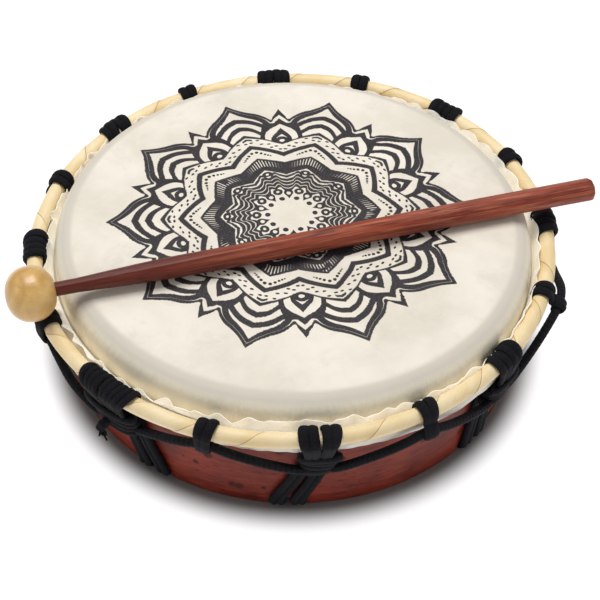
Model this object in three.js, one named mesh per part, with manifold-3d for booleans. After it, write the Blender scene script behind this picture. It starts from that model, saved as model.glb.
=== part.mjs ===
// A hand drum about 25 cm across: a wooden shell, a hide head whose edge is rolled round it, a
// cane-wrapped hoop lashed down over the roll with black cord, and a wooden beater on the head.
// Millimetres, +Z up. Everything is worked out from the drum's own axis, standing on z = 0, and the
// group is then moved so that its origin is the middle of the whole object's underside.

import * as THREE from 'three';
import { mergeVertices } from 'three/addons/utils/BufferGeometryUtils.js';
import Module from 'manifold-3d';

// What fits or touches keeps this gap
const FIT_GAP = 0.3;
const ROUND_STEPS = 44;
const SHOULDER_STEPS = 3;
const TUBE_SIDES = 7;

// Shell: a ring of wood, open below
const SHELL_RADIUS = 112.9;
const SHELL_WALL = 14;
const SHELL_HEIGHT = 70.7;
const BEARING_ROUNDING = 13.4;
const FOOT_ROUNDING = 1.2;

// Head: one hide, rolled into a bead below the hoop, with its trimmed edge standing up inside it
const HIDE_THICKNESS = 1;
const BEAD_RADIUS = 3.4;
const FRILL_SLIT = 0.35;
const FRILL_THICKNESS = 0.8;
const FRILL_TOP_DROP = 6.2;
const FRILL_WAVE = 1.3;

// Hoop: a ring bound with split cane
const HOOP_TUBE_RADIUS = 3.65;
const HOOP_DROP = 11.8;
const HOOP_STAND_OFF = 1.2;

// Lacing: one soft black cord
const CORD_DIAMETER = 4.4;
const PRESSED_CORD = 1.9;
const TAUT_CORD = 3;
const CORD_SIDES = 6;
const LASHINGS = 16;
const FIRST_LASHING_DEG = 276;
const LOOP_TURNS = 2;
const LOOP_GAP = 0.8;
const HOLE_CORNERS = 5;
const WRAP_LOOPS = 3;
const HIGH_CROSSING_DROP = 19.5;
const STRAND_BOW = 3;
const KNOT_TOP_DROP = 20.5;
const KNOT_WING_DROP = 26.5;
const KNOT_FOOT_DROP = 36;
const LOW_CROSSING_DROP = 35.5;
const KNOT_WIDTH = 13.6;
const KNOT_WING_WIDTH = 18.6;
const KNOT_THICKNESS = 9;
const WRAP_KNOT_WIDTH = 25;
const LEG_WIDTH = 7.7;
const LEG_SPACING_DEG = 4.8;
const LEG_LEAN_DEG = [-6, -2, 4, -4, 5, -5, 3, 6];
const LOOSE_END_LENGTH = 9;

// Hand-hold: the legs meet below in a bound crossing
const HOLD_RADIUS = 14;
const HOLD_HEIGHT = 9;
const HOLD_LIFT = 1;
const SPOKE_END_WIDTH = 8;
const HOLD_SIDES = 10;
const NOTCH_CLEARANCE = 1;

// Beater
const BALL_DIAMETER = 25.2;
const BALL_LENGTH = 22.6;
const BALL_BORE_DEPTH = 12.5;
const BALL_AZIMUTH_DEG = 206.9;
const BALL_REACH = 6.9;
const BEATER_HEADING_DEG = 17;
const STICK_REACH = 271;
const STICK_NECK_RADIUS = 3.3;
const STICK_TAPER_LENGTH = 55;
const STICK_TAPER_TOP_RADIUS = 5.1;
const STICK_THICK_RADIUS = 5.7;
const STICK_END_ROUNDING = 1.4;
const STICK_FACETS = 10;
const BALL_FACETS = 14;

// Places that follow from the sizes above
const HEAD_LEVEL = SHELL_HEIGHT + FIT_GAP + HIDE_THICKNESS;
const SKIN_INNER_RADIUS = SHELL_RADIUS + FIT_GAP;
const SKIN_RADIUS = SKIN_INNER_RADIUS + HIDE_THICKNESS;
const SKIN_ROUNDING = BEARING_ROUNDING + FIT_GAP + HIDE_THICKNESS;
const FRILL_INNER_RADIUS = SKIN_RADIUS + FRILL_SLIT;
const FRILL_OUTER_RADIUS = FRILL_INNER_RADIUS + FRILL_THICKNESS;
const LOOP_HOLE_RADIUS = HOOP_TUBE_RADIUS + FIT_GAP;
const HOOP_RADIUS = FRILL_OUTER_RADIUS + FIT_GAP + PRESSED_CORD + LOOP_HOLE_RADIUS + HOOP_STAND_OFF;
const HOOP_LEVEL = HEAD_LEVEL - HOOP_DROP;
const BEAD_CENTRE_RADIUS = SKIN_RADIUS + BEAD_RADIUS;
const BEAD_LEVEL = HOOP_LEVEL - Math.sqrt(
  (LOOP_HOLE_RADIUS + PRESSED_CORD + FIT_GAP + BEAD_RADIUS) ** 2 - (HOOP_RADIUS - BEAD_CENTRE_RADIUS) ** 2);
const LOOP_WIDTH = LOOP_TURNS * CORD_DIAMETER;
const LEG_RADIUS = SHELL_RADIUS + FIT_GAP + CORD_DIAMETER / 2;
const HIGH_CROSSING_RADIUS = BEAD_CENTRE_RADIUS + BEAD_RADIUS + FIT_GAP + PRESSED_CORD + CORD_DIAMETER / 2;
const KNOT_RADIUS = SHELL_RADIUS + FIT_GAP + KNOT_THICKNESS / 2;
const SOLE_LEVEL = FIT_GAP + CORD_DIAMETER / 2;
const NOTCH_HEIGHT = FIT_GAP + CORD_DIAMETER + NOTCH_CLEARANCE;

const wasm = await Module();
wasm.setup();

// A closed geometry as a solid that can be joined and cut
function solidOf(geometry) {
  const bare = geometry.index ? geometry.toNonIndexed() : geometry.clone();
  bare.deleteAttribute('normal');
  bare.deleteAttribute('uv');
  const merged = mergeVertices(bare, 1e-4);
  const corners = [];
  for (let i = 0; i < merged.index.count; i += 3) {
    const [a, b, c] = [0, 1, 2].map((n) => merged.index.getX(i + n));
    if (a !== b && b !== c && c !== a) corners.push(a, b, c);
  }
  return new wasm.Manifold(new wasm.Mesh({
    numProp: 3,
    vertProperties: new Float32Array(merged.attributes.position.array),
    triVerts: new Uint32Array(corners),
  }));
}

// A solid as a named mesh with its own finish
function pieceOf(name, solid, color, roughness) {
  const { vertProperties, triVerts } = solid.getMesh();
  const geometry = new THREE.BufferGeometry();
  geometry.setAttribute('position', new THREE.BufferAttribute(vertProperties, 3));
  geometry.setIndex(new THREE.BufferAttribute(triVerts, 1));
  geometry.computeVertexNormals();
  const piece = new THREE.Mesh(geometry, new THREE.MeshStandardMaterial({ color, roughness, metalness: 0 }));
  piece.name = name;
  return piece;
}

function radians(degrees) {
  return degrees * Math.PI / 180;
}

// A point given by its distance from the drum's axis, its direction and its height
function around(radius, degrees, level) {
  return new THREE.Vector3(radius * Math.cos(radians(degrees)), radius * Math.sin(radians(degrees)), level);
}

// A solid turned round the Z axis from points of [radius, level], listed with the solid on their left
function turned(profile, steps = ROUND_STEPS) {
  const points = profile.map(([radius, level]) => new THREE.Vector2(radius, level));
  return new THREE.LatheGeometry(points, steps).rotateX(Math.PI / 2);
}

// Points of [radius, level] on an arc, both ends included
function arc(centreRadius, centreLevel, radius, fromDeg, toDeg, steps) {
  return Array.from({ length: steps + 1 }, (unused, i) => {
    const angle = radians(fromDeg + (toDeg - fromDeg) * i / steps);
    return [centreRadius + radius * Math.cos(angle), centreLevel + radius * Math.sin(angle)];
  });
}

// A flat run of doubled cord from start to end, its broad side facing the way of facing
function flatRun(start, end, facing, startWidth, endWidth, thickness) {
  const along = end.clone().sub(start);
  const length = along.length();
  along.normalize();
  const across = new THREE.Vector3().crossVectors(facing, along).normalize();
  const outward = new THREE.Vector3().crossVectors(along, across);
  const edge = thickness * 0.28;
  const outline = new THREE.Shape([
    new THREE.Vector2(edge, edge - startWidth / 2),
    new THREE.Vector2(length - edge, edge - endWidth / 2),
    new THREE.Vector2(length - edge, endWidth / 2 - edge),
    new THREE.Vector2(edge, startWidth / 2 - edge),
  ]);
  const geometry = new THREE.ExtrudeGeometry(outline, {
    depth: thickness - 2 * edge, bevelThickness: edge, bevelSize: edge, bevelSegments: 1,
  });
  geometry.translate(0, 0, edge - thickness / 2);
  geometry.applyMatrix4(new THREE.Matrix4().makeBasis(along, across, outward).setPosition(start));
  return solidOf(geometry);
}

// A single cord through the given points
function cordThrough(points, steps) {
  const section = new THREE.Shape(Array.from({ length: CORD_SIDES }, (unused, i) => {
    const angle = 2 * Math.PI * i / CORD_SIDES;
    return new THREE.Vector2(Math.cos(angle), Math.sin(angle)).multiplyScalar(CORD_DIAMETER / 2);
  }));
  const extrudePath = new THREE.CatmullRomCurve3(points);
  return solidOf(new THREE.ExtrudeGeometry(section, { steps, extrudePath, bevelEnabled: false }));
}

// How far a lashing loop reaches from the hoop's centre line: cord drawn taut above and outside, and
// pressed thin inside and below, where the hoop bears on the hide. Zero degrees points away from the drum.
function loopReach(angleDeg) {
  const fullness = Math.min(1, ((1 + Math.cos(radians(angleDeg - 45))) / 2) ** 1.5);
  return LOOP_HOLE_RADIUS + PRESSED_CORD + (TAUT_CORD - PRESSED_CORD) * fullness;
}

// One lashing loop with its tail down over the bead, cut out in the plane through the drum's axis
function loopPrism(azimuthDeg) {
  const ring = [225, 175, 125, 75, 20].map((angleDeg) => new THREE.Vector2(
    loopReach(angleDeg) * Math.cos(radians(angleDeg)), loopReach(angleDeg) * Math.sin(radians(angleDeg))));
  const tailMiddle = HIGH_CROSSING_RADIUS - HOOP_RADIUS;
  const tailFoot = HEAD_LEVEL - HIGH_CROSSING_DROP - CORD_DIAMETER / 2 - HOOP_LEVEL;
  const beadSide = BEAD_LEVEL - HOOP_LEVEL;
  const tail = [
    new THREE.Vector2(tailMiddle + CORD_DIAMETER * 0.75, beadSide),
    new THREE.Vector2(tailMiddle + CORD_DIAMETER / 2, tailFoot),
    new THREE.Vector2(tailMiddle - CORD_DIAMETER / 2, tailFoot),
    new THREE.Vector2(tailMiddle - CORD_DIAMETER / 2, beadSide),
    new THREE.Vector2(0, -LOOP_HOLE_RADIUS - PRESSED_CORD),
  ];
  const outline = new THREE.Shape([...ring, ...tail]);
  outline.holes.push(new THREE.Path(Array.from({ length: HOLE_CORNERS }, (unused, i) => {
    const angle = 2 * Math.PI * i / HOLE_CORNERS;
    const reach = LOOP_HOLE_RADIUS / Math.cos(Math.PI / HOLE_CORNERS);
    return new THREE.Vector2(reach * Math.cos(angle), reach * Math.sin(angle));
  })));
  const geometry = new THREE.ExtrudeGeometry(outline, { depth: LOOP_WIDTH, bevelEnabled: false });
  geometry.translate(0, 0, -LOOP_WIDTH / 2);
  const outward = around(1, azimuthDeg, 0);
  const upward = new THREE.Vector3(0, 0, 1);
  const sideways = new THREE.Vector3().crossVectors(outward, upward);
  geometry.applyMatrix4(new THREE.Matrix4().makeBasis(outward, upward, sideways)
    .setPosition(around(HOOP_RADIUS, azimuthDeg, HOOP_LEVEL)));
  return solidOf(geometry);
}

// Where each loop sits: single and double lashings take turns, and the last double one is a long wrap
const lashings = Array.from({ length: LASHINGS }, (unused, i) => {
  const azimuth = FIRST_LASHING_DEG + 360 * i / LASHINGS;
  const isDouble = i % 2 === 0;
  const isWrap = i === LASHINGS - 2;
  const loops = isWrap ? WRAP_LOOPS : isDouble ? 2 : 1;
  const pitch = LOOP_WIDTH + LOOP_GAP;
  const offsets = Array.from({ length: loops }, (other, n) => (n - (loops - 1) / 2) * pitch);
  return { azimuth, isDouble, isWrap, offsets, lean: LEG_LEAN_DEG[i / 2] };
});

// A sideways offset at the hoop as an angle round the drum
function offsetDeg(offset) {
  return offset / HOOP_RADIUS * 180 / Math.PI;
}

function legAzimuths({ azimuth, lean }) {
  return [-0.5, 0.5].map((side) => azimuth + lean + side * LEG_SPACING_DEG);
}

// How far apart the two legs of a pair are at the foot
function legSpread(lashing) {
  const [first, second] = legAzimuths(lashing);
  return 2 * LEG_RADIUS * Math.sin(radians((second - first) / 2));
}

function makeShell() {
  const inner = SHELL_RADIUS - SHELL_WALL;
  const top = SHELL_HEIGHT - BEARING_ROUNDING;
  const ring = [
    [inner, FOOT_ROUNDING],
    [inner + FOOT_ROUNDING, 0],
    [SHELL_RADIUS - FOOT_ROUNDING, 0],
    [SHELL_RADIUS, FOOT_ROUNDING],
    ...arc(SHELL_RADIUS - BEARING_ROUNDING, top, BEARING_ROUNDING, 0, 90, SHOULDER_STEPS),
    [inner, SHELL_HEIGHT],
    [inner, FOOT_ROUNDING],
  ];
  let shell = solidOf(turned(ring));
  // Notches in the foot for the pairs of legs, so that the foot itself stands on the ground
  for (const lashing of lashings.filter((each) => each.isDouble)) {
    const [first, second] = legAzimuths(lashing);
    const width = legSpread(lashing) + LEG_WIDTH + 2 * NOTCH_CLEARANCE;
    const notch = new THREE.BoxGeometry(SHELL_WALL * 3, width, 2 * NOTCH_HEIGHT);
    notch.translate(SHELL_RADIUS - SHELL_WALL / 2, 0, 0).rotateZ(radians((first + second) / 2));
    shell = shell.subtract(solidOf(notch));
  }
  return shell;
}

function makeDrumhead() {
  const slitFoot = BEAD_LEVEL + BEAD_RADIUS * 0.9;
  const frillTop = HEAD_LEVEL - FRILL_TOP_DROP;
  const profile = [
    [0, HEAD_LEVEL - HIDE_THICKNESS],
    ...arc(SKIN_RADIUS - SKIN_ROUNDING, HEAD_LEVEL - SKIN_ROUNDING, SKIN_ROUNDING - HIDE_THICKNESS,
      90, 0, SHOULDER_STEPS),
    [SKIN_INNER_RADIUS, BEAD_LEVEL - BEAD_RADIUS * 0.6],
    ...arc(BEAD_CENTRE_RADIUS, BEAD_LEVEL, BEAD_RADIUS, -125, 90, 4),
    [FRILL_OUTER_RADIUS, slitFoot],
    [FRILL_OUTER_RADIUS, frillTop],
    [FRILL_INNER_RADIUS, frillTop],
    [FRILL_INNER_RADIUS, slitFoot],
    [SKIN_RADIUS, slitFoot],
    ...arc(SKIN_RADIUS - SKIN_ROUNDING, HEAD_LEVEL - SKIN_ROUNDING, SKIN_ROUNDING, 0, 90, SHOULDER_STEPS),
    [0, HEAD_LEVEL],
  ];
  const geometry = turned(profile);
  // The frill's trimmed edge rises and falls
  const corner = geometry.attributes.position;
  for (let i = 0; i < corner.count; i += 1) {
    const radius = Math.hypot(corner.getX(i), corner.getY(i));
    const onFrill = radius > FRILL_INNER_RADIUS - FIT_GAP && Math.abs(corner.getZ(i) - frillTop) < FIT_GAP;
    const angle = Math.atan2(corner.getY(i), corner.getX(i));
    if (onFrill) corner.setZ(i, frillTop + FRILL_WAVE * Math.cos(angle * ROUND_STEPS / 2));
  }
  return solidOf(geometry);
}

function makeHoop() {
  return new THREE.TorusGeometry(HOOP_RADIUS, HOOP_TUBE_RADIUS, TUBE_SIDES, ROUND_STEPS)
    .translate(0, 0, HOOP_LEVEL);
}

// The lashing at one place: its loops, and for a double one the knot that draws them together
function lashingSolids({ azimuth, isDouble, isWrap, offsets }) {
  const outward = around(1, azimuth, 0);
  const solids = offsets.map((offset) => loopPrism(azimuth + offsetDeg(offset)));
  if (!isDouble) return solids;
  const wingWidth = isWrap ? WRAP_KNOT_WIDTH : KNOT_WING_WIDTH;
  const footWidth = isWrap ? WRAP_KNOT_WIDTH * 0.75 : KNOT_WIDTH;
  const top = around(HIGH_CROSSING_RADIUS, azimuth, HEAD_LEVEL - KNOT_TOP_DROP);
  const wings = around(KNOT_RADIUS, azimuth, HEAD_LEVEL - KNOT_WING_DROP - CORD_DIAMETER / 2);
  const waist = around(KNOT_RADIUS, azimuth, HEAD_LEVEL - KNOT_WING_DROP);
  const foot = around(KNOT_RADIUS, azimuth, HEAD_LEVEL - LOW_CROSSING_DROP - CORD_DIAMETER / 2);
  solids.push(flatRun(top, wings, outward, wingWidth, footWidth, CORD_DIAMETER));
  solids.push(flatRun(waist, foot, outward, footWidth, footWidth, KNOT_THICKNESS));
  return solids;
}

// The strand that runs high through a single lashing and down to the knots on both sides of it
function strandSolid(lashing) {
  const step = 360 / LASHINGS - offsetDeg(CORD_DIAMETER / 2);
  const [left, right] = [-1, 1].map((side) => around(KNOT_RADIUS + FIT_GAP,
    lashing.azimuth + side * step, HEAD_LEVEL - LOW_CROSSING_DROP));
  const crest = around(HIGH_CROSSING_RADIUS + FIT_GAP, lashing.azimuth, HEAD_LEVEL - HIGH_CROSSING_DROP);
  const [beforeCrest, afterCrest] = [-0.5, 0.5].map((side) => around(
    (KNOT_RADIUS + HIGH_CROSSING_RADIUS) / 2 + STRAND_BOW, lashing.azimuth + side * step,
    (left.z + crest.z - CORD_DIAMETER / 2) / 2));
  return cordThrough([left, beforeCrest, crest, afterCrest, right], 4);
}

// The two legs of a double lashing, down the shell, and the run that takes both in to the hand-hold
function legSolids(lashing) {
  const feet = legAzimuths(lashing);
  const solids = feet.map((footAzimuth, i) => {
    const topAzimuth = lashing.azimuth + (i - 0.5) * LEG_SPACING_DEG * 0.84;
    const top = around(LEG_RADIUS, topAzimuth, HEAD_LEVEL - KNOT_FOOT_DROP);
    const foot = around(LEG_RADIUS, footAzimuth, SOLE_LEVEL);
    const outward = around(1, (topAzimuth + footAzimuth) / 2, 0);
    return flatRun(top, foot, outward, LEG_WIDTH, LEG_WIDTH, CORD_DIAMETER);
  });
  const middle = (feet[0] + feet[1]) / 2;
  const corner = around(LEG_RADIUS + CORD_DIAMETER * 0.7, middle, SOLE_LEVEL);
  const hold = around(HOLD_RADIUS / 2, middle, HOLD_LIFT + HOLD_HEIGHT / 2);
  const upward = new THREE.Vector3(0, 0, 1);
  const width = legSpread(lashing) + LEG_WIDTH + NOTCH_CLEARANCE;
  solids.push(flatRun(corner, hold, upward, width, SPOKE_END_WIDTH, CORD_DIAMETER));
  return solids;
}

function makeLacing() {
  const solids = lashings.flatMap(lashingSolids);
  for (const lashing of lashings) {
    solids.push(...(lashing.isDouble ? legSolids(lashing) : [strandSolid(lashing)]));
  }
  const wrap = lashings.find((each) => each.isWrap);
  const endFrom = around(KNOT_RADIUS, wrap.azimuth - 4, HEAD_LEVEL - KNOT_WING_DROP - CORD_DIAMETER);
  const endTo = around(KNOT_RADIUS + KNOT_THICKNESS, wrap.azimuth - 8, endFrom.z - LOOSE_END_LENGTH * 0.6);
  solids.push(cordThrough([endFrom, endFrom.clone().lerp(endTo, 0.5), endTo], 2));
  const rim = HOLD_RADIUS - HOLD_HEIGHT / 4;
  const hold = [
    [0, HOLD_LIFT],
    [rim, HOLD_LIFT],
    [HOLD_RADIUS, HOLD_LIFT + HOLD_HEIGHT / 4],
    [HOLD_RADIUS, HOLD_LIFT + HOLD_HEIGHT * 3 / 4],
    [rim, HOLD_LIFT + HOLD_HEIGHT],
    [0, HOLD_LIFT + HOLD_HEIGHT],
  ];
  solids.push(solidOf(turned(hold, HOLD_SIDES)));
  return solids.reduce((whole, each) => whole.add(each));
}

// How high the drum's top is at a place in plan: the head, its shoulder and frill, the hoop and loops
function topLevel(x, y) {
  const radius = Math.hypot(x, y);
  const flatRadius = SKIN_RADIUS - SKIN_ROUNDING;
  const fromHoop = radius - HOOP_RADIUS;
  if (radius <= flatRadius) return HEAD_LEVEL;
  const levels = [0];
  if (radius <= SKIN_RADIUS) {
    levels.push(HEAD_LEVEL - SKIN_ROUNDING + Math.sqrt(SKIN_ROUNDING ** 2 - (radius - flatRadius) ** 2));
  }
  if (radius <= FRILL_OUTER_RADIUS) levels.push(HEAD_LEVEL - FRILL_TOP_DROP + FRILL_WAVE);
  if (Math.abs(fromHoop) < HOOP_TUBE_RADIUS) {
    levels.push(HOOP_LEVEL + Math.sqrt(HOOP_TUBE_RADIUS ** 2 - fromHoop ** 2));
  }
  const loopRadius = LOOP_HOLE_RADIUS + TAUT_CORD;
  if (Math.abs(fromHoop) < loopRadius) {
    for (const { azimuth, offsets } of lashings) {
      const beside = radius * Math.sin(Math.atan2(y, x) - radians(azimuth));
      const isNear = x * Math.cos(radians(azimuth)) + y * Math.sin(radians(azimuth)) > 0;
      const reach = Math.max(...offsets) + LOOP_WIDTH / 2;
      if (isNear && Math.abs(beside) < reach) {
        levels.push(HOOP_LEVEL + Math.sqrt(loopRadius ** 2 - fromHoop ** 2));
      }
    }
  }
  return Math.max(...levels);
}

// The stick's radius at a distance from the ball's centre: it swells from its neck and then runs
// almost even to its far end
function stickRadiusAt(distance) {
  const taperEnd = BALL_LENGTH / 2 + STICK_TAPER_LENGTH;
  if (distance > taperEnd) {
    const share = (distance - taperEnd) / (STICK_REACH - taperEnd);
    return STICK_TAPER_TOP_RADIUS + (STICK_THICK_RADIUS - STICK_TAPER_TOP_RADIUS) * share;
  }
  const share = Math.max(0, distance - BALL_LENGTH / 2) / STICK_TAPER_LENGTH;
  return STICK_NECK_RADIUS + (STICK_TAPER_TOP_RADIUS - STICK_NECK_RADIUS) * Math.sin(share * Math.PI / 2);
}

// Distances from the ball's centre along the stick at which it passes over the head's flat part
function headCrossing(centre, heading) {
  const flatRadius = SKIN_RADIUS - SKIN_ROUNDING;
  const middle = -(centre.x * heading.x + centre.y * heading.y);
  const aside = centre.x * heading.y - centre.y * heading.x;
  const half = Math.sqrt(flatRadius ** 2 - aside ** 2);
  return [middle - half, middle + half];
}

// The beater's ball rests on the hoop and its stick on the far edge of the head
function placeBeater(beater) {
  const centre = around(HOOP_RADIUS + BALL_REACH, BALL_AZIMUTH_DEG, 0);
  const heading = around(1, BEATER_HEADING_DEG, 0);
  const aside = around(1, BEATER_HEADING_DEG + 90, 0);
  const samples = Array.from({ length: 41 }, (unused, i) => i / 20 - 1);
  let level = 0;
  for (const u of samples) {
    for (const v of samples.filter((each) => each ** 2 + u ** 2 < 1)) {
      const drop = Math.sqrt(1 - u ** 2 - v ** 2) * BALL_DIAMETER / 2;
      const place = centre.clone().addScaledVector(heading, u * BALL_LENGTH / 2)
        .addScaledVector(aside, v * BALL_DIAMETER / 2);
      level = Math.max(level, topLevel(place.x, place.y) + drop + FIT_GAP);
    }
  }
  const [near, far] = headCrossing(centre, heading);
  const farLevel = HEAD_LEVEL + FIT_GAP + stickRadiusAt(far);
  const nearLevel = HEAD_LEVEL + FIT_GAP + stickRadiusAt(near);
  level = Math.max(level, (nearLevel * far - farLevel * near) / (far - near));
  beater.position.set(centre.x, centre.y, level);
  beater.rotation.set(0, Math.atan2(level - farLevel, far), radians(BEATER_HEADING_DEG), 'ZYX');
}

// The ball is turned about the stick's line and bored for it. Its local X runs along the stick.
function makeBall() {
  const mouthRadius = stickRadiusAt(BALL_LENGTH / 2) + FIT_GAP;
  const mouth = BALL_LENGTH / 2 * Math.sqrt(1 - (mouthRadius / (BALL_DIAMETER / 2)) ** 2);
  const rows = BALL_FACETS / 2;
  const lastAngle = Math.acos(mouth / (BALL_LENGTH / 2));
  const outline = Array.from({ length: rows + 1 }, (unused, i) => {
    const angle = Math.PI + (lastAngle - Math.PI) * i / rows;
    return [Math.max(0, Math.sin(angle) * BALL_DIAMETER / 2), Math.cos(angle) * BALL_LENGTH / 2];
  });
  outline[0][0] = 0;
  const bore = [[mouthRadius, mouth - BALL_BORE_DEPTH], [0, mouth - BALL_BORE_DEPTH]];
  return solidOf(turned([...outline, ...bore], BALL_FACETS).rotateY(Math.PI / 2));
}

function makeStick() {
  const mouthRadius = stickRadiusAt(BALL_LENGTH / 2) + FIT_GAP;
  const start = BALL_LENGTH / 2 * Math.sqrt(1 - (mouthRadius / (BALL_DIAMETER / 2)) ** 2)
    - BALL_BORE_DEPTH + FIT_GAP;
  const neck = BALL_LENGTH / 2;
  const lengths = [start, neck, neck + STICK_TAPER_LENGTH * 0.45, neck + STICK_TAPER_LENGTH,
    STICK_REACH - STICK_END_ROUNDING];
  const profile = [
    [0, start],
    ...lengths.map((length) => [stickRadiusAt(length), length]),
    [stickRadiusAt(STICK_REACH) - STICK_END_ROUNDING, STICK_REACH],
    [0, STICK_REACH],
  ];
  return solidOf(turned(profile, STICK_FACETS).rotateY(Math.PI / 2));
}

const drum = new THREE.Group();
drum.add(pieceOf('shell', makeShell(), 0x7a3328, 0.45));
drum.add(pieceOf('drumhead', makeDrumhead(), 0xeee6d6, 0.75));
drum.add(pieceOf('hoop', solidOf(makeHoop()), 0xf6dfa8, 0.5));
drum.add(pieceOf('lacing_cord', makeLacing(), 0x1d1d22, 0.85));

const beater = new THREE.Group();
beater.add(pieceOf('beater_stick', makeStick(), 0x853a2e, 0.45));
beater.add(pieceOf('beater_ball', makeBall(), 0xd9ab5c, 0.3));
placeBeater(beater);
drum.add(beater);

// The whole object's footprint is centred on the origin
drum.updateMatrixWorld(true);
const middle = new THREE.Box3().setFromObject(drum).getCenter(new THREE.Vector3());
drum.position.set(-middle.x, -middle.y, 0);

export default drum;
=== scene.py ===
# A small shaman drum with its beater, dressed over the frame of its solid parts. Metres, +Z up.

import math

import bpy
import numpy as np
from mathutils import Matrix, Vector


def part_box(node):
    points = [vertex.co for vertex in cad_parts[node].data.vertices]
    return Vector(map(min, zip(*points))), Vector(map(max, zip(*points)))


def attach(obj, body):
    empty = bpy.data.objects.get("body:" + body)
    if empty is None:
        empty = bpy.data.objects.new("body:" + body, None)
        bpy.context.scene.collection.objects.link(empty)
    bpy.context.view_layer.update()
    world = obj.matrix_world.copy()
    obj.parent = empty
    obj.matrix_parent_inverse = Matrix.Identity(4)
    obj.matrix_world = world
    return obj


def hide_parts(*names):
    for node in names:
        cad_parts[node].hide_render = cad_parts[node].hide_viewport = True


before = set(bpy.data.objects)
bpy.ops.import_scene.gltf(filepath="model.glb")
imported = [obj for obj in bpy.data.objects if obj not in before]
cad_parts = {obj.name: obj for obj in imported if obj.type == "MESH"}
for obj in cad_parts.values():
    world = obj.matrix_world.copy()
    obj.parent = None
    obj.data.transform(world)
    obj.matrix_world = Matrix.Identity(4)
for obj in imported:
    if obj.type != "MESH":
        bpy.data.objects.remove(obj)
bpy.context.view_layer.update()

# Studio
# One broad soft light hangs almost over the drum, with a weak one on either side. The camera is in
# front and looks down on the drum, turned a few degrees from the line to the middle of the print.

MM = 0.001
scene = bpy.context.scene
head_low, head_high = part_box("drumhead")
AXIS = Vector(((head_low.x + head_high.x) / 2, (head_low.y + head_high.y) / 2, 0))
HEAD_LEVEL = head_high.z
PRINT_CENTRE = AXIS + Vector((-1.4, 4.4, 0)) * MM

CAMERA_ELEVATION = math.radians(42.717)
CAMERA_DISTANCE = 646.5 * MM
CAMERA_LENS = 80.97
CAMERA_TURNS = (("X", 3.65), ("Y", 0.451), ("Z", -1.294))
LIT_SPOT = Vector((0, 0, 40)) * MM

back = Vector((0, -math.cos(CAMERA_ELEVATION), math.sin(CAMERA_ELEVATION)))
right = Vector((1, 0, 0))
turn_x, turn_y, turn_z = [Matrix.Rotation(math.radians(angle), 3, axis) for axis, angle in CAMERA_TURNS]
to_camera = turn_z @ turn_x @ turn_y @ Matrix((right, back.cross(right), back))
camera = bpy.data.objects.new("camera", bpy.data.cameras.new("camera"))
camera.data.lens = CAMERA_LENS
camera.data.clip_start = 0.01
camera.matrix_world = Matrix.Translation(
    PRINT_CENTRE + Vector((0, 0, HEAD_LEVEL)) + back * CAMERA_DISTANCE) @ to_camera.transposed().to_4x4()
scene.collection.objects.link(camera)
scene.camera = camera
scene.view_settings.view_transform = "Standard"

world = bpy.data.worlds.new("room")
scene.world = world
world.use_nodes = True
world.node_tree.nodes["Background"].inputs["Color"].default_value = (1, 0.99, 0.985, 1)
world.node_tree.nodes["Background"].inputs["Strength"].default_value = 0.34


def softbox(name, place, size, power):
    """A square lamp that faces the middle of the drum."""
    lamp = bpy.data.objects.new(name, bpy.data.lights.new(name, "AREA"))
    lamp.data.size = size
    lamp.data.energy = power
    lamp.location = place
    lamp.rotation_euler = (LIT_SPOT - lamp.location).to_track_quat("-Z", "Y").to_euler()
    scene.collection.objects.link(lamp)


softbox("top_light", Vector((-0.1, 0.28, 1.38)), 0.75, 14.6)
softbox("left_light", Vector((-1.2, -0.5, 0.8)), 0.6, 1.4)
softbox("right_light", Vector((1.2, -0.4, 0.8)), 0.6, 1.4)


# Shell
# One wooden ring, turned and stained red-brown, with its top edge rounded over for the hide and
# eight shallow notches in its foot where the cords pass under it. NOTCHES are their directions in degrees.

shell_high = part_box("shell")[1]
SHELL_RADIUS = shell_high.y
SHELL_WALL = 14 * MM
SHELL_ROUNDING = 13.4 * MM
FOOT_ROUNDING = 1.5 * MM
NOTCH_HEIGHT = 5.7 * MM
NOTCHES = [270, 319, 10, 47, 101, 136, 189, 237]
NOTCH_HALF_WIDTH = 9.5 * MM
NOTCH_SLOPE = 1.2 * MM
WALL_START = 8 * MM


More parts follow.
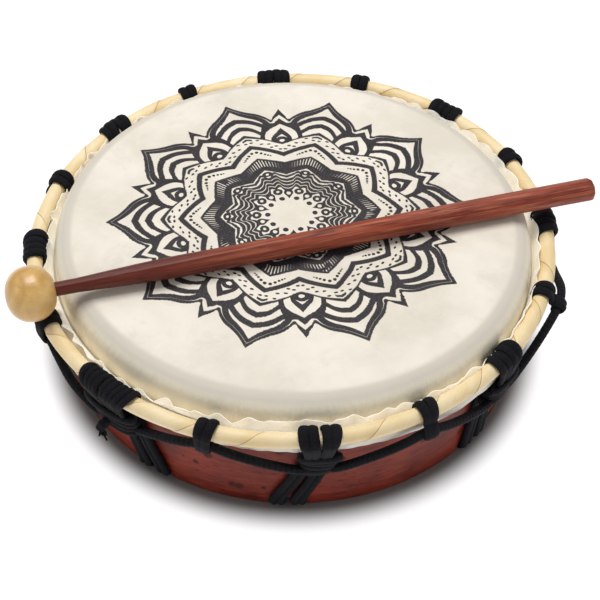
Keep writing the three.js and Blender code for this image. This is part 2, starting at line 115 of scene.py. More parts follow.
class Value:
    """The output of a node, used like a number: each sum on it adds the Math node that works it out."""

    def __init__(self, tree, socket=None):
        self.tree, self.socket = tree, socket

    def node(self, kind, inputs, out=0, **settings):
        """Any other node: its settings first, then the values or links of its sockets."""
        made = self.tree.nodes.new(kind)
        for name, setting in settings.items():
            setattr(made, name, setting)
        fill(made, inputs)
        return Value(self.tree, made.outputs[out])

    def math(self, operation, *others):
        return self.node("ShaderNodeMath", dict(enumerate((self, *others))), operation=operation)

    def __add__(self, other):
        return self.math("ADD", other)

    def __sub__(self, other):
        return self.math("SUBTRACT", other)

    def __mul__(self, other):
        return self.math("MULTIPLY", other)

    def __truediv__(self, other):
        return self.math("DIVIDE", other)

    def __rsub__(self, other):
        return self.node("ShaderNodeMath", {0: other, 1: self}, operation="SUBTRACT")

    __radd__ = __add__
    __rmul__ = __mul__

    def part(self, axis):
        return self.node("ShaderNodeSeparateXYZ", {0: self}, out="XYZ".index(axis))

    def vector(self, operation, *others):
        return self.node("ShaderNodeVectorMath", dict(enumerate((self, *others))), operation=operation)

    def length(self):
        return self.node("ShaderNodeVectorMath", {0: self}, out=1, operation="LENGTH")

    def azimuth(self):
        """The turn of a place about Z, in radians."""
        return self.part("Y").math("ARCTAN2", self.part("X"))

    def joined(self, y, z=0.0):
        """The vector that this value is the x of."""
        return self.node("ShaderNodeCombineXYZ", {0: self, 1: y, 2: z})

    def step(self, low, high):
        """0 below low, 1 above high and a smooth change between them."""
        return self.node("ShaderNodeMapRange", {0: self, 1: low, 2: high}, interpolation_type="SMOOTHSTEP")

    def blend(self, first, second):
        """The first colour where this is 0, the second where it is 1."""
        return self.node("ShaderNodeMix", {0: self, 6: first, 7: second}, out=2, data_type="RGBA")

    def noise(self, scale, detail=3.0, roughness=0.5, distortion=0.0):
        return self.node("ShaderNodeTexNoise", {"Vector": self, "Scale": scale, "Detail": detail,
                                                "Roughness": roughness, "Distortion": distortion})

    def stretched(self, x, y, z):
        return self.vector("MULTIPLY", (x, y, z))

    def drawn(self, points):
        """The height of the line through the points at this value; both run from 0 to 1."""
        made = self.node("ShaderNodeFloatCurve", {1: self})
        mapping = made.socket.node.mapping
        curve = mapping.curves[0].points
        curve[0].location, curve[1].location = points[0], points[-1]
        for point in points[1:-1]:
            curve.new(*point)
        for point in curve:
            point.handle_type = "AUTO_CLAMPED"
        mapping.update()
        return made


def fill(node, inputs):
    """Links values to a node's sockets, and sets plain numbers, colours and names on the others."""
    for name, value in inputs.items():
        if isinstance(value, Value):
            value.tree.links.new(value.socket, node.inputs[name])
        else:
            node.inputs[name].default_value = value


def colour(red, green, blue):
    """A colour as it is seen on screen, from 0 to 255, as light values."""
    shares = (red / 255, green / 255, blue / 255)
    return tuple(((c + 0.055) / 1.055) ** 2.4 if c > 0.04045 else c / 12.92 for c in shares) + (1,)


def finish(name):
    """A new material: the material, its shader node and the place on the object as the first value."""
    made = bpy.data.materials.new(name)
    made.use_nodes = True
    tree = made.node_tree
    place = Value(tree).node("ShaderNodeTexCoord", {}, out=3)
    return made, tree.nodes["Principled BSDF"], place


def bump(shader, height, depth):
    fill(shader, {"Normal": height.node("ShaderNodeBump", {"Height": height, "Distance": depth})})


def sweep(name, grid, round_rows=False, caps=False):
    """A mesh from a grid of points. Each row closes on itself; the rows may also close first to last."""
    rows, columns = grid.shape[:2]
    corner = np.arange(rows * columns).reshape(rows, columns)
    below = np.roll(corner, -1, axis=0) if round_rows else corner[1:]
    above = corner if round_rows else corner[:-1]
    faces = np.stack([above, np.roll(above, -1, 1), np.roll(below, -1, 1), below], -1).reshape(-1, 4).tolist()
    if caps:
        faces += [corner[0, ::-1].tolist(), corner[-1].tolist()]
    mesh = bpy.data.meshes.new(name)
    mesh.from_pydata(grid.reshape(-1, 3).tolist(), [], faces)
    mesh.validate()
    return mesh


def show(name, mesh, material, node, sharp=40):
    """Puts a finished mesh in the scene as a piece of the drum that stands for its node."""
    mesh.materials.clear()
    mesh.materials.append(material)
    mesh.shade_smooth()
    mesh.set_sharp_from_angle(angle=math.radians(sharp))
    piece = bpy.data.objects.new(name, mesh)
    scene.collection.objects.link(piece)
    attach(piece, "root")
    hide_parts(node)


def turned(profile, columns):
    """The grid of a profile of (radius, level) turned round the drum's axis."""
    radius, level = np.array(profile, float).T
    angle = np.arange(columns) * 2 * math.pi / columns
    return np.stack([AXIS.x + radius[:, None] * np.cos(angle), AXIS.y + radius[:, None] * np.sin(angle),
                     np.repeat(level[:, None], columns, 1)], -1)


def rounded(centre, radius, start, end, steps):
    """Points on an arc about (radius, level), from one angle in degrees to the other."""
    turn = np.radians(np.linspace(start, end, steps + 1))
    return [(centre[0] + radius * math.cos(a), centre[1] + radius * math.sin(a)) for a in turn]


inner_radius = SHELL_RADIUS - SHELL_WALL
shell_profile = [
    *rounded((SHELL_RADIUS - SHELL_ROUNDING, shell_high.z - SHELL_ROUNDING), SHELL_ROUNDING, 90, 0, 12),
    *[(SHELL_RADIUS, level) for level in np.linspace(shell_high.z - SHELL_ROUNDING, WALL_START, 8)[1:]],
    *rounded((SHELL_RADIUS - FOOT_ROUNDING, FOOT_ROUNDING), FOOT_ROUNDING, 0, -90, 5),
    *rounded((inner_radius + FOOT_ROUNDING, FOOT_ROUNDING), FOOT_ROUNDING, -90, -180, 5),
    *[(inner_radius, level) for level in np.linspace(WALL_START, shell_high.z - 1 * MM, 6)],
]
shell_grid = turned(shell_profile, 720)
azimuth = np.degrees(np.arctan2(shell_grid[..., 1] - AXIS.y, shell_grid[..., 0] - AXIS.x))
for notch in NOTCHES:
    aside = np.radians(np.abs((azimuth - notch + 180) % 360 - 180)) * SHELL_RADIUS
    lift = np.clip((NOTCH_HALF_WIDTH - aside) / NOTCH_SLOPE, 0, 1) * NOTCH_HEIGHT
    shell_grid[..., 2] = np.maximum(shell_grid[..., 2], lift)

stain, shader, place = finish("stained_wood")
centred = place.vector("SUBTRACT", tuple(AXIS))
unrolled = (centred.azimuth() * SHELL_RADIUS).joined(centred.part("Z"))
cloud = unrolled.noise(28, 4, 0.6)
grain = unrolled.stretched(0.16, 1, 1).noise(420, 4, 0.62, 0.3)
pores = unrolled.stretched(0.25, 1, 1).noise(900, 2, 0.7).step(0.62, 0.74)
freckle = unrolled.node("ShaderNodeTexVoronoi", {"Vector": unrolled, "Scale": 95, "Randomness": 1.0})
freckle_size = unrolled.noise(40, 1).step(0.42, 0.6) * 0.3
spots = (1 - freckle.step(freckle_size * 0.55, freckle_size + 0.01)) * freckle_size.step(0.02, 0.05)
wood = cloud.step(0.3, 0.72).blend(colour(80, 19, 11), colour(130, 42, 26))
wood = (grain.step(0.35, 0.75) * 0.6).blend(wood, colour(148, 62, 41))
wood = (pores * 0.5).blend(wood, colour(66, 16, 12))
wood = (spots * 0.75).blend(wood, colour(50, 14, 12))
fill(shader, {"Base Color": wood, "Roughness": 0.34 + grain * 0.16 + spots * 0.2, "Specular IOR Level": 0.22})
bump(shader, grain * 0.6 - pores * 0.8 - spots * 0.3, 0.0003)
show("wooden_shell", sweep("wooden_shell", shell_grid[::-1], round_rows=True), stain, "shell")


# Hide head
# One piece of rawhide, soaked and drawn over the rounded edge of the shell. Below the hoop it is
# rolled into a bead, and its trimmed edge stands up as a thin wavy frill inside the hoop. The top
# is printed in black with a ring of ten petals and buds.

HIDE_THICKNESS = 1 * MM
SKIN_RADIUS = SHELL_RADIUS + 1.3 * MM
SHOULDER = SHELL_ROUNDING + 1.3 * MM
SQUARENESS = 2.7
BEAD_RADIUS = 3.5 * MM
BEAD_CENTRE = (SKIN_RADIUS + BEAD_RADIUS, HEAD_LEVEL - 20.8 * MM)
FRILL_FOOT = HEAD_LEVEL - 17 * MM
FRILL_TOP = HEAD_LEVEL - 7.9 * MM
FRILL_RADIUS = SKIN_RADIUS + 1.0 * MM
FRILL_THICKNESS = 0.4 * MM
PRINT_RADIUS = 88 * MM
PRINT_TURN = math.radians(113.739)
SECTOR = math.radians(18)
PRINT_EDGE = 0.0075
SHADED_EDGE = (104 * MM, 107 * MM)
GATHERED_EDGE = (109.5 * MM, 113 * MM)
SCALLOPS = 29
FRILL_LOW_TURN = math.radians(212)
FRILL_STRETCH_TURN = math.radians(50)

rng = np.random.default_rng(7)


def ripple(angle, *waves):
    """A wavy line round the drum: for each (count, height), a few waves of about that count."""
    total = np.zeros_like(angle)
    for count, height in waves:
        for near in (count, count + 1, count - 2):
            total += height / 3 * np.sin(near * angle + rng.uniform(0, 2 * math.pi))
    return total


shoulder_turn = np.radians(np.linspace(90, 0, 23)[1:])
skin_profile = [
    *[(r, HEAD_LEVEL) for r in np.linspace(0.001, SKIN_RADIUS - SHOULDER, 26)],
    *[(SKIN_RADIUS - SHOULDER + SHOULDER * math.cos(a) ** (2 / SQUARENESS),
       HEAD_LEVEL - SHOULDER + SHOULDER * math.sin(a) ** (2 / SQUARENESS)) for a in shoulder_turn[:-1]],
    (SKIN_RADIUS, HEAD_LEVEL - SHOULDER),
    *rounded(BEAD_CENTRE, BEAD_RADIUS, 160, -125, 22),
    (SKIN_RADIUS - HIDE_THICKNESS, BEAD_CENTRE[1]),
    *rounded((SKIN_RADIUS - SHOULDER, HEAD_LEVEL - SHOULDER), SHOULDER - HIDE_THICKNESS, 0, 90, 10),
    (0.001, HEAD_LEVEL - HIDE_THICKNESS),
]
skin_grid = turned(skin_profile, 480)
skin_angle = np.arctan2(skin_grid[..., 1] - AXIS.y, skin_grid[..., 0] - AXIS.x)
skin_radius = np.hypot(skin_grid[..., 0] - AXIS.x, skin_grid[..., 1] - AXIS.y)
on_top = np.clip((skin_grid[..., 2] - HEAD_LEVEL + 2 * MM) / (2 * MM), 0, 1)
near_edge = np.clip(skin_radius / SKIN_RADIUS, 0, 1) ** 3
skin_grid[..., 2] -= on_top * near_edge * (0.25 * MM - ripple(skin_angle, (9, 0.12 * MM), (23, 0.1 * MM)))
in_bead = np.clip((BEAD_CENTRE[1] + BEAD_RADIUS - skin_grid[..., 2]) / BEAD_RADIUS, 0, 1)
bead_waves = ripple(skin_angle, (11, 0.25 * MM), (43, 0.28 * MM), (97, 0.14 * MM))
swell = in_bead * (skin_radius > SKIN_RADIUS) * bead_waves
outward = np.stack([np.cos(skin_angle), np.sin(skin_angle), -0.6 * np.ones_like(skin_angle)], -1)
skin_grid += outward * swell[..., None]
hide_mesh = sweep("hide_head", skin_grid[::-1], caps=True)

hide, shader, place = finish("printed_hide")
mottle = place.noise(24, 5, 0.6)
fine = place.noise(260, 4, 0.6)
veins = place.noise(60, 6, 0.7, 0.5)
ground = mottle.step(0.3, 0.7).blend(colour(220, 212, 197), colour(238, 231, 218))
ground = (veins.step(0.52, 0.68) * 0.3).blend(ground, colour(208, 200, 188))
ground = (fine.step(0.55, 0.8) * 0.35).blend(ground, colour(242, 235, 225))
centred = place.vector("SUBTRACT", tuple(AXIS))
from_axis = centred.stretched(1, 1, 0).length()
# Painted shade: the rounded shoulder beyond the flat top is darkened to a mottled grey, standing in for the
# shade where the skin turns down away from the light
painted_shoulder_shade = from_axis.step(*SHADED_EDGE) * (0.5 + mottle * 0.6)
ground = painted_shoulder_shade.blend(ground, colour(206, 199, 186))
gathered = from_axis.step(*GATHERED_EDGE)
ground = (gathered * 0.8).blend(ground, colour(238, 229, 206))
# Painted light: the rolled bead below the frill is made paler, to lift it out of the shade that the hoop
# casts on it
rolled = 1 - place.part("Z").step(FRILL_FOOT - 2 * MM, FRILL_FOOT + 1 * MM)
ground = (rolled * (0.7 + veins * 0.3)).blend(ground, colour(238, 234, 226))

# The ring of petals: distance from its centre, 1 at the petals' tips, and the turn from the
# nearest petal's line, 1 at the line of the nearest bud
wobble = place.noise(900, 2, 0.6) - 0.5
drift = place.noise(120, 2, 0.5) - 0.5
on_print = place.vector("SUBTRACT", tuple(PRINT_CENTRE)).stretched(1, 1, 0)
reach = on_print.length() / PRINT_RADIUS + wobble * 0.007 + drift * 0.006
turn = (on_print.azimuth() - PRINT_TURN) / SECTOR
turn = (turn + drift * 0.05 + wobble * 0.03).math("PINGPONG", 1.0)


def under(line):
    """1 on the centre's side of a line drawn as (turn, reach) points."""
    return (turn.drawn(line) - reach).step(-PRINT_EDGE, PRINT_EDGE)


def band(upper, lower):
    """1 between two drawn lines."""
    return under(upper) * (1 - under(lower))


def spot(at_turn, at_reach, half_width, half_height, edge=0.25):
    """1 inside a round or oval spot."""
    across = (turn - at_turn) * (SECTOR * at_reach / half_width)
    along = (reach - at_reach) / half_height
    return 1 - (across * across + along * along).step(1 - edge, 1 + edge)


def either(first, second):
    return first.math("MAXIMUM", second)


def without(mask, cut):
    return mask * (1 - cut)


# The outermost line follows the petals and the tips of the buds behind them
ink = band([(0, 1.0), (0.15, 0.947), (0.32, 0.908), (0.55, 0.873), (0.68, 0.844), (0.805, 0.814),
            (0.87, 0.844), (0.94, 0.876), (1, 0.908)],
           [(0, 0.976), (0.15, 0.928), (0.32, 0.889), (0.55, 0.854), (0.68, 0.825), (0.79, 0.795),
            (0.86, 0.818), (0.93, 0.838), (1, 0.858)])
# Petals and buds as black shapes, with their white fields cut out of them
mass = under([(0, 0.969), (0.15, 0.922), (0.32, 0.884), (0.55, 0.849), (0.68, 0.815), (0.76, 0.782),
              (0.83, 0.780), (0.92, 0.797), (1, 0.820)])
petal_top = [(0, 0.943), (0.12, 0.901), (0.28, 0.862), (0.45, 0.831), (0.57, 0.798), (0.66, 0.752), (1, 0.70)]
bud_side = [(0, 0.5), (0.34, 0.60), (0.42, 0.67), (0.48, 0.715), (0.56, 0.752), (0.66, 0.770), (1, 0.818)]
field = band(petal_top, bud_side)
outer_rib = band([(0, 0.864), (0.28, 0.836), (0.6, 0.778), (1, 0.7)],
                 [(0, 0.829), (0.28, 0.801), (0.6, 0.740), (1, 0.66)])
inner_rib = band([(0, 0.790), (0.25, 0.764), (0.5, 0.704), (1, 0.6)],
                 [(0, 0.757), (0.25, 0.731), (0.5, 0.668), (1, 0.56)])
mass = without(mass, without(field, either(outer_rib, inner_rib)))
leaf = under([(0, 0.5), (0.5, 0.62), (0.56, 0.682), (0.7, 0.725), (0.86, 0.751), (1, 0.774)])
leaf = leaf * turn.step(0.5, 0.53)
arch = under([(0, 0.5), (0.66, 0.6), (0.71, 0.645), (0.79, 0.674), (0.9, 0.703), (1, 0.733)])
eye = under([(0, 0.5), (0.78, 0.6), (0.83, 0.643), (0.91, 0.665), (1, 0.684)])
eye = without(eye, spot(1, 0.618, 0.040, 0.040, 0.12))
mass = without(mass, either(without(leaf, arch), either(eye, spot(1, 0.622, 0.017, 0.013))))
ink = either(ink, mass)
# Inside the petals: a white ribbon with dashes between two zigzag lines
ribbon = under([(0, 0.688), (0.5, 0.640), (0.8, 0.606), (1, 0.590)])
ink = without(ink, ribbon)
ink = either(ink, under([(0, 0.709), (0.45, 0.655), (0.75, 0.618), (1, 0.600)]) * (1 - ribbon))
for dash in ((0.085, 0.634), (0.36, 0.607), (0.575, 0.600), (0.80, 0.575), (0.92, 0.546), (0.64, 0.568),
             (0.3, 0.645)):
    ink = either(ink, spot(*dash, 0.0105, 0.0058))
tip_dash = band([(0, 0.673), (0.14, 0.660), (1, 0.5)], [(0, 0.662), (0.14, 0.650), (1, 0.5)])
ink = either(ink, tip_dash * (1 - turn.step(0.13, 0.15)))
ink = either(ink, band([(0, 0.612), (0.5, 0.561), (1, 0.5145)], [(0, 0.582), (0.5, 0.532), (1, 0.482)]))
# A row of dots, smaller away from each petal's line
for at_turn, at_reach, size in ((0.085, 0.545, 0.0095), (0.225, 0.530, 0.0085), (0.335, 0.516, 0.0075),
                                (0.43, 0.505, 0.0065), (0.51, 0.497, 0.005)):
    ink = either(ink, spot(at_turn, at_reach, size, size))
# A broad black star with short white strokes
star = band([(0, 0.491), (0.5, 0.455), (1, 0.428)], [(0, 0.386), (0.5, 0.354), (1, 0.327)])
strokes = 1 - ((turn * 17).math("PINGPONG", 1.0) * reach).step(0.11, 0.25)
strokes = strokes * band([(0, 0.480), (0.5, 0.445), (1, 0.418)],
                         [(0, 0.415), (0.35, 0.402), (0.75, 0.378), (1, 0.37)])
strokes = strokes * (1 - turn * 0.55) * place.noise(160, 1).step(0.25, 0.45)
ink = either(ink, without(star, strokes))
# Inside the star: eyes at its points, a wavy line beside them, and four more within
ink = either(ink, without(spot(0, 0.348, 0.029, 0.020), spot(0, 0.347, 0.010, 0.008)))
ink = either(ink, band([(0, 0.30), (0.2, 0.336), (0.37, 0.353), (0.6, 0.334), (1, 0.314)],
                       [(0, 0.29), (0.2, 0.324), (0.37, 0.340), (0.6, 0.321), (1, 0.300)]))
for inset in (0.006, 0.034, 0.062, 0.090):
    outside = [(0, 0.318 - inset), (0.37, 0.334 - inset), (0.63, 0.306 - inset), (1, 0.292 - inset)]
    inside = [(0, 0.301 - inset), (0.37, 0.316 - inset), (0.63, 0.289 - inset), (1, 0.275 - inset)]
    ink = either(ink, band(outside, inside))
# Two rings of beads round the open middle, the buds' beads shaped like drops
drop_bead = band([(0, 0.13), (0.45, 0.163), (0.62, 0.186), (0.8, 0.196), (1, 0.193)],
                 [(0, 0.3), (0.42, 0.19), (0.6, 0.162), (0.82, 0.143), (1, 0.127)])
ink = either(ink, without(drop_bead, spot(1, 0.168, 0.013, 0.013)))
ink = either(ink, without(spot(0, 0.188, 0.026, 0.024), spot(0, 0.189, 0.010, 0.009)))
ink = either(ink, spot(0, 0.129, 0.015, 0.0145))
# The ink is spread a little, worn through in fine specks and only on the top of the head
ink = ink.step(0.02, 0.5)
worn = place.noise(1500, 2, 0.7).step(0.25, 0.5) * 0.1 + 0.9
on_head = place.part("Z").step(HEAD_LEVEL - 2 * MM, HEAD_LEVEL - 1.5 * MM)
ink = ink * worn * on_head
black = drift.step(-0.3, 0.3).blend(colour(36, 31, 36), colour(48, 43, 48))
fill(shader, {"Base Color": ink.blend(ground, black), "Roughness": 0.62 - ink * 0.1 + fine * 0.1,
              "Specular IOR Level": 0.3})
pleats = (centred.azimuth() * 24).joined(place.part("Z") * 40).noise(1.6, 3, 0.6)
bump(shader, mottle * 0.6 + fine * 0.25 + veins * 0.3 + pleats * gathered * 2.2, 0.0004)
show("hide_head", hide_mesh, hide, "drumhead")

# The frill is scalloped and rippled, stands lowest at the front left and leans out to the hoop at
# the sides, but never goes into the rounded edge of the skin
frill_angle = np.arange(960) * 2 * math.pi / 960
frill_rows = np.linspace(0, 1, 9)[:, None]
frill_wave = ripple(frill_angle, (61, 1.0), (37, 0.8), (97, 0.4))
scallop = np.abs(np.sin(SCALLOPS * frill_angle + ripple(frill_angle, (7, 2.0), (13, 1.2)))) ** 0.6
frill_low = 2.4 * np.cos(frill_angle - FRILL_LOW_TURN).clip(0) ** 2
frill_edge = 1.9 * scallop - 1.4 - frill_low + ripple(frill_angle, (17, 0.5), (73, 0.3))
frill_level = FRILL_FOOT + frill_rows * (FRILL_TOP - FRILL_FOOT + MM * frill_edge)
above_side = (frill_level - HEAD_LEVEL + SHOULDER).clip(0)
shoulder_at = SKIN_RADIUS - SHOULDER + (SHOULDER ** SQUARENESS - above_side ** SQUARENESS) ** (1 / SQUARENESS)
frill_sides = np.abs(np.cos(frill_angle))
frill_stretch = 1 + np.cos(2 * (frill_angle - FRILL_STRETCH_TURN))
frill_lean = 2.6 * frill_sides ** 0.7 - 0.9 + 1.2 * frill_wave
frill_lean += 0.75 * frill_stretch ** 2 * frill_sides ** 0.3
frill_out = np.maximum(FRILL_RADIUS + MM * frill_rows * frill_lean, shoulder_at + 0.3 * MM)


def frill_side(shift):
    """The inner face of the frill, moved out by a distance."""
    radius = frill_out + shift
    return np.stack([AXIS.x + radius * np.cos(frill_angle), AXIS.y + radius * np.sin(frill_angle),
                     frill_level], -1)


frill_grid = np.concatenate([frill_side(FRILL_THICKNESS), frill_side(0)[::-1]])
edge_hide, shader, place = finish("trimmed_hide")
pale = place.noise(150, 4, 0.6).step(0.3, 0.7).blend(colour(236, 226, 204), colour(250, 243, 228))
# The frill glows faintly in its own pale colour: painted light, standing in for light shining through the
# thin hide onto its face in the hoop's shade
fill(shader, {"Base Color": pale, "Roughness": 0.6, "Subsurface Weight": 0.8,
              "Subsurface Radius": (1.0, 0.85, 0.65), "Subsurface Scale": 4 * MM,
              "Emission Color": pale, "Emission Strength": 0.22})
bump(shader, place.noise(400, 3, 0.6), 0.0003)
show("trimmed_frill", sweep("trimmed_frill", frill_grid, round_rows=True), edge_hide, "drumhead", 60)


# Hoop
# A ring bent from a rod and bound all round with one long strip of split cane, laid on the slant
# with each turn lapping a little over the last. It is bent by hand and not quite round.

hoop_low, hoop_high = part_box("hoop")
HOOP_TUBE = 3.5 * MM
HOOP_RADIUS = 122.8 * MM
HOOP_LEVEL = (hoop_low.z + hoop_high.z) / 2 + 0.7 * MM
HOOP_STRETCH = 2.4 * MM
HOOP_STRETCH_TURN = math.radians(50)
HOOP_RISE = 0.3 * MM
HOOP_RISE_TURN = math.radians(150)
CANE_TURNS = 29
CANE_LAP = 0.32 * MM
STEPS_ROUND = CANE_TURNS * 60
STEPS_ABOUT = 28


def hoop_at(angle):
    """The hoop's middle line at an angle round the drum, as (radius, level)."""
    return (HOOP_RADIUS + HOOP_STRETCH * np.cos(2 * (angle - HOOP_STRETCH_TURN)),
            HOOP_LEVEL + HOOP_RISE * np.cos(angle - HOOP_RISE_TURN))


def new_tree(name, inputs):
    """A geometry tree with named number inputs: the tree, its inputs as values and its group output."""
    tree = bpy.data.node_groups.new(name, "GeometryNodeTree")
    tree.interface.new_socket("Geometry", in_out="INPUT", socket_type="NodeSocketGeometry")
    for label, default in inputs.items():
        socket = tree.interface.new_socket(label, in_out="INPUT", socket_type="NodeSocketFloat")
        socket.default_value = default
    tree.interface.new_socket("Geometry", in_out="OUTPUT", socket_type="NodeSocketGeometry")
    entry = tree.nodes.new("NodeGroupInput")
    sockets = {socket.name: Value(tree, socket) for socket in entry.outputs if socket.name}
    return tree, sockets, tree.nodes.new("NodeGroupOutput")


def close_tree(tree, geometry, exit_node, material):
    """Realizes what the tree made and gives it its material."""
    real = geometry.node("GeometryNodeRealizeInstances", {"Geometry": geometry})
    made = real.node("GeometryNodeSetMaterial", {"Geometry": real, "Material": material})
    tree.links.new(made.socket, exit_node.inputs[0])


def grown(name, tree, mesh, **sizes):
    """The plain mesh that a geometry tree makes of a mesh, with some of its inputs set."""
    carrier = bpy.data.objects.new(name, mesh)
    scene.collection.objects.link(carrier)
    modifier = carrier.modifiers.new(name, "NODES")
    modifier.node_group = tree
    for socket in tree.interface.items_tree:
        if socket.name in sizes:
            modifier[socket.identifier] = sizes[socket.name]
    bpy.context.view_layer.update()
    result = bpy.data.meshes.new_from_object(carrier.evaluated_get(bpy.context.evaluated_depsgraph_get()))
    bpy.data.objects.remove(carrier)
    return result


cane, shader, place = finish("split_cane")
centred = place.vector("SUBTRACT", tuple(AXIS))
angle = centred.azimuth()
stretch = HOOP_STRETCH * ((angle - HOOP_STRETCH_TURN) * 2).math("COSINE")
from_ring = centred.stretched(1, 1, 0).length() - HOOP_RADIUS - stretch
from_level = centred.part("Z") - HOOP_LEVEL - HOOP_RISE * (angle - HOOP_RISE_TURN).math("COSINE")
turns = (angle * CANE_TURNS - from_level.math("ARCTAN2", from_ring)) / (2 * math.pi)
lap = turns.math("FRACT")
fibres = (lap * 26).joined((turns.math("FLOOR") + angle * 6) * 1.3).noise(1.6, 3, 0.65)
tone = place.noise(45, 3)
straw = tone.step(0.3, 0.7).blend(colour(234, 209, 158), colour(247, 229, 190))
straw = (fibres.step(0.45, 0.75) * 0.4).blend(straw, colour(224, 192, 134))
straw = ((1 - lap.step(0.008, 0.03)) * 0.75).blend(straw, colour(136, 96, 50))
# Painted shade: the last quarter of each turn is darkened next to the edge of the turn that laps over it,
# standing in for the shadow of that small step
straw = (lap.step(0.75, 1.0) * 0.35).blend(straw, colour(214, 182, 122))
fill(shader, {"Base Color": straw, "Roughness": 0.4 + fibres * 0.2})
bump(shader, fibres * 0.5, 0.00025)

tree, given, exit_node = new_tree("bound_hoop", {
    "Radius": HOOP_RADIUS, "Stretch": HOOP_STRETCH, "Level": HOOP_LEVEL, "Rise": HOOP_RISE,
    "Tube": HOOP_TUBE, "Turns": CANE_TURNS, "Lap": CANE_LAP})
start = Value(tree)
sheet = start.node("GeometryNodeMeshGrid", {
    "Size X": 1.0, "Size Y": 1.0, "Vertices X": STEPS_ROUND + 1, "Vertices Y": STEPS_ABOUT + 1})
spot_on_sheet = start.node("GeometryNodeInputPosition", {})
way_round = spot_on_sheet.part("X") + 0.5
way_about = spot_on_sheet.part("Y") + 0.5
lap_phase = (way_round * given["Turns"] + way_about).math("FRACT")
tube = given["Tube"] + given["Lap"] * (1 - lap_phase) * lap_phase.step(0.0, 0.03)
angle = way_round * (2 * math.pi)
about = way_about * (-2 * math.pi)
ring = given["Radius"] + given["Stretch"] * ((angle - HOOP_STRETCH_TURN) * 2).math("COSINE")
ring = ring + tube * about.math("COSINE")
level = given["Level"] + given["Rise"] * (angle - HOOP_RISE_TURN).math("COSINE") + tube * about.math("SINE")
spot_in_ring = (ring * angle.math("COSINE") + AXIS.x).joined(ring * angle.math("SINE") + AXIS.y, level)
sheet = sheet.node("GeometryNodeSetPosition", {"Geometry": sheet, "Position": spot_in_ring})
sheet = sheet.node("GeometryNodeMergeByDistance", {"Geometry": sheet, "Distance": 0.00001})
close_tree(tree, sheet, exit_node, cane)
hoop_mesh = grown("cane_bound_hoop", tree, bpy.data.meshes.new("empty"))
show("cane_bound_hoop", hoop_mesh, cane, "hoop", 50)


# Lacing
# One soft black plaited cord: it lashes the hoop down at sixteen places, singly and doubly in
# turn, runs in zigzags between them, and goes in pairs down the shell and under it, where the
# pairs cross and are bound into a hand-hold. It ends in a long wrap round the hoop and a knot.

CORD = 4.2 * MM
LASHINGS = 16
# Directions and turns round the drum are in degrees here
FIRST_LASHING = 276
LASHING_STEP = 360 / LASHINGS
LONG_WRAP = LASHINGS - 2
LOOP_CORD_THICKNESS = 2.3 * MM
KNOT_LEVEL = HEAD_LEVEL - 35.5 * MM
LASHING_FOOT = HEAD_LEVEL - 25.5 * MM
BEAD_OUTSIDE = BEAD_CENTRE[0] + BEAD_RADIUS
STRAND_RADIUS = BEAD_OUTSIDE + LOOP_CORD_THICKNESS + CORD / 2
STRAND_LEVEL = HEAD_LEVEL - 18.6 * MM
KNOT_RADIUS = SHELL_RADIUS + 3.6 * MM
# The turns bound round each knot, the uppermost first: how far below the head, how much wider than
# the knot's half width, and the distances from the axis that each runs between
KNOT_TURNS = ((23.3 * MM, 1.3 * MM, BEAD_OUTSIDE + 1.2 * MM, SHELL_RADIUS + 12 * MM),
              (26.7 * MM, 0.6 * MM, SHELL_RADIUS + 4 * MM, SHELL_RADIUS + 10.8 * MM),
              (30.2 * MM, 0, SHELL_RADIUS + 2 * MM, SHELL_RADIUS + 10.2 * MM),
              (33.7 * MM, -0.3 * MM, SHELL_RADIUS + 2 * MM, SHELL_RADIUS + 9.6 * MM),
              (36.8 * MM, -0.6 * MM, SHELL_RADIUS + 2 * MM, SHELL_RADIUS + 8 * MM))
LOOSE_LASHING = 3
LOOSE_STRAND = 3.6 * MM
# The strand on one side of a single lashing, as the share of the way to the next knot, the distance
# from the axis in mm and the share of the rise from the knots. It hangs loose outside the hoop at
# the loose lashing, and between the long wrap and the lashing before it
TIGHT_STRAND_SIDE = [(0.22, 125.3, 0.8), (0.5, 123.6, 0.47), (0.8, 121.8, 0.12), (0.96, 119.5, 0)]
TO_WRAP_STRAND_SIDE = [(0.22, 126.2, 0.8), (0.5, 126.6, 0.47), (0.8, 125.4, 0.18), (0.96, 121.5, 0)]
LOOSE_STRAND_SIDE = [(0.22, 129.4, 1.14), (0.5, 127, 0.85), (0.8, 126.4, 0.4), (0.96, 121, 0)]
LOOSE_FIRST_SIDE = [(0.22, 127.2, 0.9), (0.5, 124.2, 0.5), (0.8, 121.8, 0.12), (0.96, 119.5, 0)]
LEG_LEAN = [-6, -2, 4, -4, 5, -5, 3, 6]
LEG_SPACING = 4.8
TWIN_SPACING = 3.3 * MM
HOLD_RADIUS = 14 * MM
HOLD_COILS = 5
FRAYED_STRANDS = 14

lashing_runs, strand_runs, leg_runs = [], [], []


def run(kept_in, points, outward, width=CORD, thickness=CORD, plaited=1.0):
    """Notes one run of cord: its points, the way its broad side faces, its width and thickness and
    how strongly its plait stands out."""
    kept_in.append((np.array(points, float), np.array(outward, float), width, thickness, plaited))


def around(radius, degrees, level):
    """A place by its distance from the drum's axis, its direction in degrees and its height."""
    angle = np.radians(degrees)
    return np.stack(np.broadcast_arrays(
        AXIS.x + radius * np.cos(angle), AXIS.y + radius * np.sin(angle), level), -1)


def facing(degrees, tip=0.0):
    """The way straight out from the axis, tipped up by an angle in radians."""
    angle = np.radians(degrees)
    return np.stack(np.broadcast_arrays(
        np.cos(tip) * np.cos(angle), np.cos(tip) * np.sin(angle), np.sin(tip)), -1)


def towards(line):
    """The direction in degrees of each point of a line, seen from the axis."""
    return np.degrees(np.arctan2(line[:, 1] - AXIS.y, line[:, 0] - AXIS.x))


